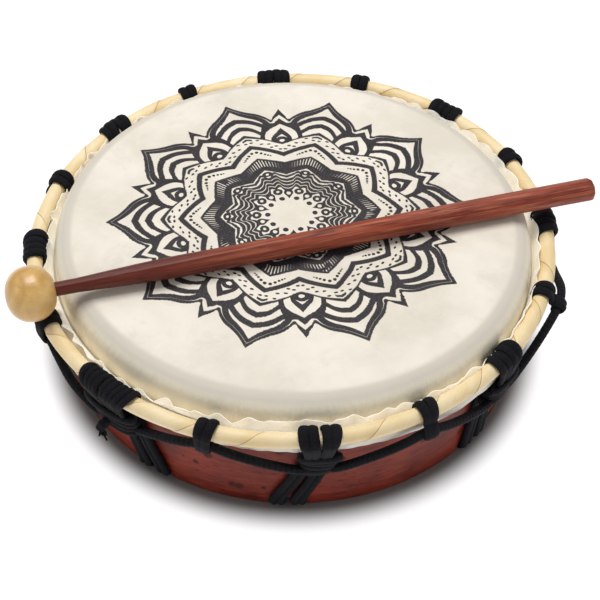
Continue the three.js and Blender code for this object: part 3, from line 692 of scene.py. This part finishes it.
def smooth(points, steps):
    """Points on a smooth line through the given ones."""
    points = np.array(points, float)
    padded = np.vstack([2 * points[0] - points[1], points, 2 * points[-1] - points[-2]])
    out = []
    for before, a, b, after in zip(padded, padded[1:], padded[2:], padded[3:]):
        for t in np.linspace(0, 1, steps, endpoint=False):
            out.append(0.5 * (2 * a + (b - before) * t + (2 * before - 5 * a + 4 * b - after) * t ** 2
                              + (3 * a - before - 3 * b + after) * t ** 3))
    return np.array(out + [points[-1]])


def lashing_turn(azimuth, top_aside, foot_aside, in_aside, foot_level, foot_radius, swell, wide):
    """One turn of a lashing: up from under its strand or knot, over the hoop and down inside it. It
    passes the lashing's middle at three distances aside: at its foot, on the hoop and inside."""
    ring, level = hoop_at(math.radians(azimuth))
    # The loop runs about the hoop's tube from low outside, over the top and down to low inside. It
    # stands off the tube most on its upper outside and least at its inner end
    about = np.radians(np.linspace(-15, 232, 18))
    full = 0.5 + 0.5 * np.cos(about - math.radians(50))
    reach = HOOP_TUBE + CANE_LAP / 2 + LOOP_CORD_THICKNESS / 2 + swell - 0.8 * MM * (1 - full)
    drawn_in = np.clip((math.radians(85) - about) / math.radians(100), 0, 1) ** 1.3 * 0.7
    lean = rng.uniform(-0.8, 0.8) * MM * np.cos(about)
    tucked_in = np.clip((about - math.radians(115)) / math.radians(115), 0, 1)
    aside = top_aside + (foot_aside - top_aside) * drawn_in + (in_aside - top_aside) * tucked_in + lean
    over = around(ring + reach * np.cos(about), azimuth + np.degrees(aside / ring),
                  level + reach * np.sin(about))
    # Its foot comes from behind the strand or knot, round under it and up to the hoop
    middle = azimuth + math.degrees((top_aside * 0.15 + foot_aside * 0.85) / ring)
    foot = azimuth + math.degrees(foot_aside / foot_radius)
    outside = foot_radius + CORD / 2 + LOOP_CORD_THICKNESS * 0.35 + swell
    tail = [around(foot_radius - CORD * 0.55, foot, foot_level - CORD * 0.35),
            around(foot_radius - CORD * 0.1, foot, foot_level - CORD * 0.66),
            around(outside - CORD * 0.25, foot, foot_level - CORD * 0.5),
            around(outside, foot, foot_level + CORD * 0.1),
            around((outside + ring + reach[0]) / 2 + 0.3 * MM, middle,
                   (foot_level + over[0][2]) / 2 + CORD * 0.1)]
    tail_out = [facing(azimuth, tip) for tip in (-2.4, -1.5, -0.8, 0.1, 0.15)]
    inside = [around(ring - 0.1 * reach[-1], azimuth + math.degrees(in_aside / ring),
                     level - 1.02 * reach[-1])]
    run(lashing_runs, smooth(np.vstack([tail, over, inside]), 2),
        smooth(np.vstack([tail_out, [facing(azimuth, a) for a in about], [facing(azimuth, -1.5)]]), 2),
        wide * MM, LOOP_CORD_THICKNESS, 0.3)


def knot_wrap(azimuth, level, half_width, inner, outer, tilt):
    """One turn of cord bound level round a bundle, between two distances from the axis."""
    turn = np.linspace(0, 2 * math.pi, 33)
    across = half_width * np.sign(np.cos(turn)) * np.abs(np.cos(turn)) ** 0.75
    out = (inner + outer) / 2 + (outer - inner) / 2 * np.sign(np.sin(turn)) * np.abs(np.sin(turn)) ** 0.8
    degrees = azimuth + np.degrees(across / KNOT_RADIUS)
    spread = facing(degrees) * np.sin(turn)[:, None]
    side = np.stack([-np.sin(np.radians(degrees)), np.cos(np.radians(degrees)), 0 * degrees], -1)
    run(lashing_runs, around(out, degrees, level + tilt * across),
        spread + side * np.cos(turn)[:, None], CORD, CORD * 0.66, 0.35)


for number in range(LASHINGS):
    azimuth = FIRST_LASHING + LASHING_STEP * number
    slant = rng.uniform(-1.6, 1.6) * MM
    # Every second lashing is single: two turns side by side, closer at the foot and inside
    if number % 2:
        loose = LOOSE_STRAND if number == LOOSE_LASHING else 0
        for side in (-0.5, 0.5):
            lashing_turn(azimuth, side * 4.6 * MM + slant, side * 2.2 * MM - slant, side * 2.6 * MM + slant,
                         STRAND_LEVEL + loose * 0.7, STRAND_RADIUS + loose, rng.uniform(0, 0.5) * MM, 4.7)
        continue
    # The others are two pairs of turns with a gap between them, or the nine of the long wrap
    if number == LONG_WRAP:
        asides = (np.arange(9) - 4) * 3.3
        inside_asides = asides * 0.9
        pull, foot_reach, turn_width, knot_half_width, bulk = 0.62, 5.5, 3.5, 12, 3.2
    else:
        apart = 2.9 if number == 0 else 2.2
        asides = np.array([-apart - 4.2, -apart, apart, apart + 4.2])
        pair_middle = np.sign(asides) * (apart + 2.1)
        inside_asides = pair_middle + (asides - pair_middle) * 0.6
        pull, foot_reach, turn_width, knot_half_width, bulk = 0.5, 3, 4.7, 7.2, 0
    for aside, inside_aside in zip(asides, inside_asides):
        foot_aside = aside * pull + rng.uniform(-0.6, 0.6)
        lashing_turn(azimuth, aside * MM + slant * 0.5, foot_aside * MM, inside_aside * MM + slant * 0.3,
                     LASHING_FOOT, KNOT_RADIUS + foot_reach * MM, rng.uniform(0, 0.7) * MM, turn_width)
    for down, wider, inner, outer in KNOT_TURNS:
        knot_wrap(azimuth + rng.uniform(-0.25, 0.25), HEAD_LEVEL - down, knot_half_width * MM + wider,
                  inner, outer + bulk * MM, rng.uniform(-0.12, 0.12))

# The strand that zigzags between the knots and the single lashings
for number in range(1, LASHINGS, 2):
    azimuth = FIRST_LASHING + LASHING_STEP * number
    before, top, after = TIGHT_STRAND_SIDE, (0, 125.8, 1), TIGHT_STRAND_SIDE
    if number == LOOSE_LASHING:
        before, top, after = LOOSE_FIRST_SIDE, (0, 129.4, 1.14), LOOSE_STRAND_SIDE
    if number == LONG_WRAP - 1:
        after = TO_WRAP_STRAND_SIDE
    stations = [(-share, radius, rise) for share, radius, rise in before[::-1]] + [top] + after
    line = smooth([around(radius * MM, azimuth + share * LASHING_STEP,
                          KNOT_LEVEL + (STRAND_LEVEL - KNOT_LEVEL) * rise)
                   for share, radius, rise in stations], 5)
    run(strand_runs, line, facing(towards(line)))

# The doubled legs, down the shell and in under it to the hand-hold
for pair in range(LASHINGS // 2):
    azimuth = FIRST_LASHING + LASHING_STEP * 2 * pair
    for leg in (-0.5, 0.5):
        foot_azimuth = azimuth + LEG_LEAN[pair] + leg * LEG_SPACING
        top_azimuth = azimuth + leg * LEG_SPACING * 0.85
        for twin in (-0.5, 0.5):
            aside = math.degrees(twin * TWIN_SPACING / SHELL_RADIUS)
            surface = SHELL_RADIUS + CORD / 2 - 0.3 * MM
            line = smooth([
                around(surface + 1 * MM, top_azimuth + aside, KNOT_LEVEL + 4 * MM),
                around(surface, top_azimuth + aside, KNOT_LEVEL - 1 * MM),
                around(surface, (top_azimuth + foot_azimuth) / 2 + aside, KNOT_LEVEL / 2 + 2 * MM),
                around(surface, foot_azimuth + aside, 7.5 * MM),
                around(surface - 0.4 * MM, foot_azimuth + aside, 4.2 * MM),
                around(surface - 3 * MM, foot_azimuth + aside, 2.6 * MM),
                around(SHELL_RADIUS - 8 * MM, foot_azimuth + aside, 2.6 * MM),
                around(SHELL_RADIUS - SHELL_WALL - 4 * MM, foot_azimuth + aside * 0.9, 2.9 * MM),
                around(60 * MM, foot_azimuth + aside * 0.9, 3.8 * MM),
                around(HOLD_RADIUS * 1.1, foot_azimuth + aside * 1.6, 5 * MM),
                around(2 * MM, foot_azimuth, 5.4 * MM)], 6)
            # Its broad side faces down from where it passes under the foot
            tip = -math.pi / 2 * np.clip((np.linspace(0, 1, len(line)) - 0.42) / 0.08, 0, 1)
            run(leg_runs, line, facing(towards(line), tip), CORD * 0.95, CORD * 0.8, 0.3)

# The coils that bind the crossing
for coil in range(HOLD_COILS):
    turn = np.linspace(0, 2 * math.pi, 61)
    radius = HOLD_RADIUS - abs(coil - HOLD_COILS // 2) * 1.1 * MM
    level = 3.2 * MM + coil * 1.5 * MM + 0.8 * MM * np.sin(8 * turn + coil * math.pi)
    run(leg_runs, around(radius - CORD / 2, np.degrees(turn), level), facing(np.degrees(turn)))

# The cord's end stands out of the long wrap's knot and frays
end_azimuth = FIRST_LASHING + LASHING_STEP * LONG_WRAP
end = [around(KNOT_RADIUS + 7 * MM, end_azimuth + 1, HEAD_LEVEL - 31 * MM),
       around(KNOT_RADIUS + 12 * MM, end_azimuth - 0.5, HEAD_LEVEL - 32 * MM),
       around(KNOT_RADIUS + 14 * MM, end_azimuth - 1, HEAD_LEVEL - 35.5 * MM)]
run(lashing_runs, smooth(end, 5), [facing(end_azimuth)] * 11, CORD * 1.1, CORD)
for _ in range(FRAYED_STRANDS):
    spread = rng.uniform(-1.6, 1.6, 3) * MM
    tips = [end[2] + spread * 0.3 + (0, 0, 1 * MM), end[2] + spread * 0.8 + (0, 0, -2 * MM),
            end[2] + spread * 1.7 + (0, 0, rng.uniform(-5.5, -3) * MM)]
    run(lashing_runs, smooth(tips, 3), [facing(end_azimuth)] * 7, 0.8 * MM, 0.8 * MM, 0.0)

black_cord, shader, place = finish("plaited_cord")
round_way = place.node("ShaderNodeAttribute", {}, out=1, attribute_name="round")
relief = place.node("ShaderNodeAttribute", {}, out=2, attribute_name="plaited")
about = round_way.azimuth()
laid = round_way.part("Z")
plait = (about * 3 + laid * 1.25).math("SINE") * (about * 3 - laid * 1.25).math("SINE")
threads = (about * 3).joined(laid * 0.35).noise(2.2, 3, 0.6)
fuzz = place.noise(2600, 3, 0.7)
cord_black_and_sheen = place.noise(60, 3).step(0.3, 0.7).blend(colour(7, 7, 9), colour(19, 19, 25))
# Lighter on the plait's raised crests, on loose threads and on fuzz: partly the fibres' own greyish colour,
# partly painted sheen where the fibres catch the light
cord_black_and_sheen = ((plait * 0.5 + 0.5) * relief * 0.5).blend(cord_black_and_sheen, colour(27, 28, 34))
cord_black_and_sheen = (threads.step(0.5, 0.75) * 0.4).blend(cord_black_and_sheen, colour(42, 42, 53))
cord_black_and_sheen = (fuzz.step(0.55, 0.8) * 0.4).blend(cord_black_and_sheen, colour(60, 60, 74))
fill(shader, {"Base Color": cord_black_and_sheen, "Roughness": 0.75, "Specular IOR Level": 0.16})
bump(shader, plait * relief * 0.35 + threads * 0.6 + fuzz * 0.4, 0.0006)

tree, given, exit_node = new_tree("laid_cord", {"Spacing": 1.3 * MM, "Sides": 12.0, "Relief": 0.04})
start = Value(tree)


def attribute(name, kind="FLOAT"):
    return start.node("GeometryNodeInputNamedAttribute", {"Name": name}, data_type=kind)


def noted(geometry, name, value, kind="FLOAT"):
    """The geometry with a value kept at each of its points."""
    sockets = {"Geometry": geometry, "Name": name, "Value": value}
    return geometry.node("GeometryNodeStoreNamedAttribute", sockets, data_type=kind, domain="POINT")


path = start.node("GeometryNodeMeshToCurve", {"Mesh": given["Geometry"]})
path = path.node("GeometryNodeResampleCurve", {"Curve": path, "Length": given["Spacing"]}, mode="LENGTH")
here = start.node("GeometryNodeInputPosition", {})
ahead = start.node("GeometryNodeInputTangent", {})
length = start.node("GeometryNodeSplineParameter", {}, out=1) * 1000
path = noted(noted(path, "spine", here, "FLOAT_VECTOR"), "ahead", ahead, "FLOAT_VECTOR")
path = noted(path, "laid", length)
section = start.node("GeometryNodeCurvePrimitiveCircle", {"Resolution": given["Sides"], "Radius": 0.001})
turn_about = start.node("GeometryNodeSplineParameter", {}, out=0) * (2 * math.pi)
section = noted(section, "girth", turn_about)
skin = path.node("GeometryNodeCurveToMesh", {"Curve": path, "Profile Curve": section, "Fill Caps": True})
ahead, outward = attribute("ahead", "FLOAT_VECTOR"), attribute("outward", "FLOAT_VECTOR")
sideways = outward.vector("CROSS_PRODUCT", ahead).vector("NORMALIZE")
upright = ahead.vector("CROSS_PRODUCT", sideways)
girth, laid = attribute("girth"), attribute("laid")
cosine, sine = girth.math("COSINE"), girth.math("SINE")
lumps = (girth * 2 + laid * 1.25).math("SINE") * (girth * 2 - laid * 1.25).math("SINE")
swell = 1 + lumps * given["Relief"] * attribute("plaited")
half_wide, half_thick = attribute("wide") * 0.5 * swell, attribute("thick") * 0.5 * swell
across = sideways.node("ShaderNodeVectorMath", {0: sideways, "Scale": half_wide * cosine}, operation="SCALE")
away = upright.node("ShaderNodeVectorMath", {0: upright, "Scale": half_thick * sine}, operation="SCALE")
outline = attribute("spine", "FLOAT_VECTOR").vector("ADD", across).vector("ADD", away)
skin = skin.node("GeometryNodeSetPosition", {"Geometry": skin, "Position": outline})
skin = noted(skin, "round", cosine.joined(sine, laid), "FLOAT_VECTOR")
close_tree(tree, skin, exit_node, black_cord)

for name, chosen, spacing in (("lashings_and_knots", lashing_runs, 1.4), ("zigzag_strand", strand_runs, 1.0),
                              ("doubled_legs", leg_runs, 2.0)):
    lines, outwards, widths, thicknesses, plaits = zip(*chosen)
    counts = [len(line) for line in lines]
    firsts = np.cumsum([0] + counts[:-1])
    edges = [(first + i, first + i + 1) for first, count in zip(firsts, counts) for i in range(count - 1)]
    spine = bpy.data.meshes.new(name)
    spine.from_pydata(np.vstack(lines).tolist(), edges, [])
    spine.attributes.new("outward", "FLOAT_VECTOR", "POINT").data.foreach_set(
        "vector", np.vstack(outwards).astype(np.float32).ravel())
    for label, sizes in (("wide", widths), ("thick", thicknesses), ("plaited", plaits)):
        spine.attributes.new(label, "FLOAT", "POINT").data.foreach_set(
            "value", np.repeat(sizes, counts).astype(np.float32))
    show(name, grown(name, tree, spine, Spacing=spacing * MM), black_cord, "lacing_cord", 70)


# Beater
# A straight stick planed by hand to a taper, so that it has narrow flats along it, with a turned
# and polished ball of pale wood on its thin end. It lies across the head, the ball on the hoop.

def node_points(name):
    return np.array([v.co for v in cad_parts[name].data.vertices], float)


STICK_NECK = 3.3 * MM
STICK_TAPER_TOP = 5.15 * MM
STICK_THICK = 5.75 * MM
STICK_NECK_END = 22 * MM
STICK_TAPER_LENGTH = 55 * MM
STICK_END_ROUNDING = 1.8 * MM
STICK_FLATS = 9
BALL_RADIUS = 12.6 * MM
BALL_HALF_LENGTH = 11.3 * MM
BALL_SOCKET = 3.5 * MM
BALL_SOCKET_DEPTH = 9 * MM

# The stick's line runs from the middle of its thin end to the middle of its thick end
stick_points = node_points("beater_stick")
stick_way = np.linalg.svd(stick_points - stick_points.mean(0), full_matrices=False)[2][0]
stick_way *= np.sign(stick_way[0])
stick_along = stick_points @ stick_way
stick_start = stick_points[stick_along < stick_along.min() + MM].mean(0)
stick_end = stick_points[stick_along > stick_along.max() - MM].mean(0)
stick_way = (stick_end - stick_start) / np.linalg.norm(stick_end - stick_start)
stick_aside = np.cross((0, 0, 1), stick_way)
stick_aside /= np.linalg.norm(stick_aside)
stick_up = np.cross(stick_way, stick_aside)
stick_length = np.linalg.norm(stick_end - stick_start)

end_turn = np.linspace(0.2, 1.5, 6)
along = np.linspace(0, stick_length - STICK_END_ROUNDING, 150)
end_in = STICK_END_ROUNDING * (1 - np.cos(np.concatenate([0 * along, end_turn])))
along = np.concatenate([along, stick_length - STICK_END_ROUNDING * (1 - np.sin(end_turn))])
turn = np.arange(90) * 2 * math.pi / 90
taper_end = STICK_NECK_END + STICK_TAPER_LENGTH
past_neck = np.clip((along - STICK_NECK_END) / STICK_TAPER_LENGTH, 0, 1)
past_taper = np.clip((along - taper_end) / (stick_length - taper_end), 0, 1)
radius = (STICK_NECK + (STICK_TAPER_TOP - STICK_NECK) * np.sin(past_neck * math.pi / 2)
          + (STICK_THICK - STICK_TAPER_TOP) * past_taper)
# The flats are soft-edged and wander a little along the stick, as the plane left them
flat = math.pi / STICK_FLATS
shift = 0.25 * np.sin(along[:, None] / 0.07) + 0.12 * np.sin(along[:, None] / 0.023 + 2)
within = (turn[None, :] + shift) % (2 * flat) - flat
facet = 0.15 + 0.85 * np.cos(flat) / np.cos(within)
facet = np.minimum(facet, 0.99) + 0.008 * np.sin(3 * turn[None, :] + along[:, None] / 0.05)
stick_radius = radius[:, None] * facet - end_in[:, None]
stick_grid = (stick_start + along[:, None, None] * stick_way
              + (stick_radius * np.cos(turn))[..., None] * stick_aside
              + (stick_radius * np.sin(turn))[..., None] * stick_up)

red_wood, shader, place = finish("planed_red_wood")
stick_turn = Matrix((Vector(stick_way), Vector(stick_aside), Vector(stick_up))).to_euler()
from_start = place.vector("SUBTRACT", tuple(stick_start))
local = place.node("ShaderNodeVectorRotate", {0: from_start, "Rotation": stick_turn},
                   rotation_type="EULER_XYZ")
streak = local.stretched(0.05, 1, 1).noise(700, 4, 0.65)
broad = local.stretched(0.12, 1, 1).noise(160, 3, 0.6)
dark_line = local.stretched(0.03, 1, 1).noise(1300, 3, 0.7).step(0.58, 0.7)
red = broad.step(0.3, 0.7).blend(colour(108, 38, 27), colour(152, 70, 47))
red = (streak.step(0.45, 0.7) * 0.6).blend(red, colour(194, 116, 84))
red = (dark_line * 0.85).blend(red, colour(60, 18, 15))
# Painted shade: the stick darkens towards its thin end by the ball, where its facets face away from the light
red = ((1 - local.part("X").step(25 * MM, 150 * MM)) * 0.85).blend(red, colour(76, 20, 15))
from_knot = local.vector("SUBTRACT", (stick_length * 0.5, 0, STICK_THICK)).stretched(0.12, 0.5, 0.5).length()
red = ((1 - (from_knot + streak * 2 * MM).step(1.0 * MM, 2.6 * MM)) * 0.75).blend(red, colour(58, 30, 36))
fill(shader, {"Base Color": red, "Roughness": 0.34 + streak * 0.2, "Specular IOR Level": 0.3})
bump(shader, streak * 0.6 - dark_line * 0.6, 0.00025)
show("planed_stick", sweep("planed_stick", stick_grid, caps=True), red_wood, "beater_stick", 30)

# The ball is turned slightly flat at its poles, with a socket for the stick's thin end
ball_foot = ((node_points("beater_ball") - stick_start) @ stick_way).min()
ball_centre = stick_start + stick_way * (ball_foot + BALL_HALF_LENGTH)
ball_profile = []
for polar in np.linspace(0.02, math.pi - 0.33, 60):
    cosine = math.cos(polar)
    ball_profile.append((BALL_RADIUS * math.sin(polar) ** 0.9,
                         -BALL_HALF_LENGTH * math.copysign(abs(cosine) ** 0.94, cosine)))
mouth_radius, mouth = ball_profile[-1]
ball_profile += [(mouth_radius - 0.5 * MM, mouth - 0.15 * MM), (BALL_SOCKET + 0.1 * MM, mouth - 1 * MM),
                 (BALL_SOCKET, mouth - BALL_SOCKET_DEPTH), (0.1 * MM, mouth - BALL_SOCKET_DEPTH)]
ball_turn = np.arange(96) * 2 * math.pi / 96
ball_grid = np.array([[ball_centre + stick_way * z + r * (math.cos(a) * stick_aside + math.sin(a) * stick_up)
                       for a in ball_turn] for r, z in ball_profile])
honey_wood, shader, place = finish("polished_honey_wood")
local = place.vector("SUBTRACT", tuple(ball_centre))
rings = local.stretched(1, 1, 0.35).noise(90, 3, 0.5, 0.6)
grain = local.stretched(0.25, 1, 1).noise(900, 3, 0.6)
honey = rings.step(0.3, 0.7).blend(colour(192, 148, 82), colour(222, 182, 114))
honey = (grain.step(0.5, 0.8) * 0.3).blend(honey, colour(160, 110, 54))
fill(shader, {"Base Color": honey, "Roughness": 0.24 + grain * 0.1,
              "Coat Weight": 0.2, "Coat Roughness": 0.3})
bump(shader, grain, 0.0001)
show("turned_ball", sweep("turned_ball", ball_grid, caps=True), honey_wood, "beater_ball")


# Table
# A plain white table top that the drum stands on. Its surface is dim grey and it glows evenly white, except
# in a ring about the drum's foot where the glow fades out towards the shell: a painted soft shadow under the
# hoop's overhang, laid over the real shadow on the grey.

TABLE_REACH = 6
PAINTED_SHADOW_INNER = 114 * MM
PAINTED_SHADOW_OUTER = 130 * MM

white, shader, place = finish("white_table")
# Painted shadow: no glow within 114 mm of the axis, rising to full glow at 130 mm
glow_past_painted_shadow = place.vector("SUBTRACT", tuple(AXIS)).length().step(PAINTED_SHADOW_INNER, PAINTED_SHADOW_OUTER)
fill(shader, {"Base Color": (0.22, 0.205, 0.2, 1), "Roughness": 1.0, "Emission Color": glow_past_painted_shadow,
              "Emission Strength": 0.95})
table = bpy.data.objects.new("table", bpy.data.meshes.new("table"))
corners = [(x, y, 0) for x, y in ((-TABLE_REACH, -TABLE_REACH), (TABLE_REACH, -TABLE_REACH),
                                  (TABLE_REACH, TABLE_REACH), (-TABLE_REACH, TABLE_REACH))]
table.data.from_pydata(corners, [], [(0, 1, 2, 3)])
table.data.materials.append(white)
scene.collection.objects.link(table)
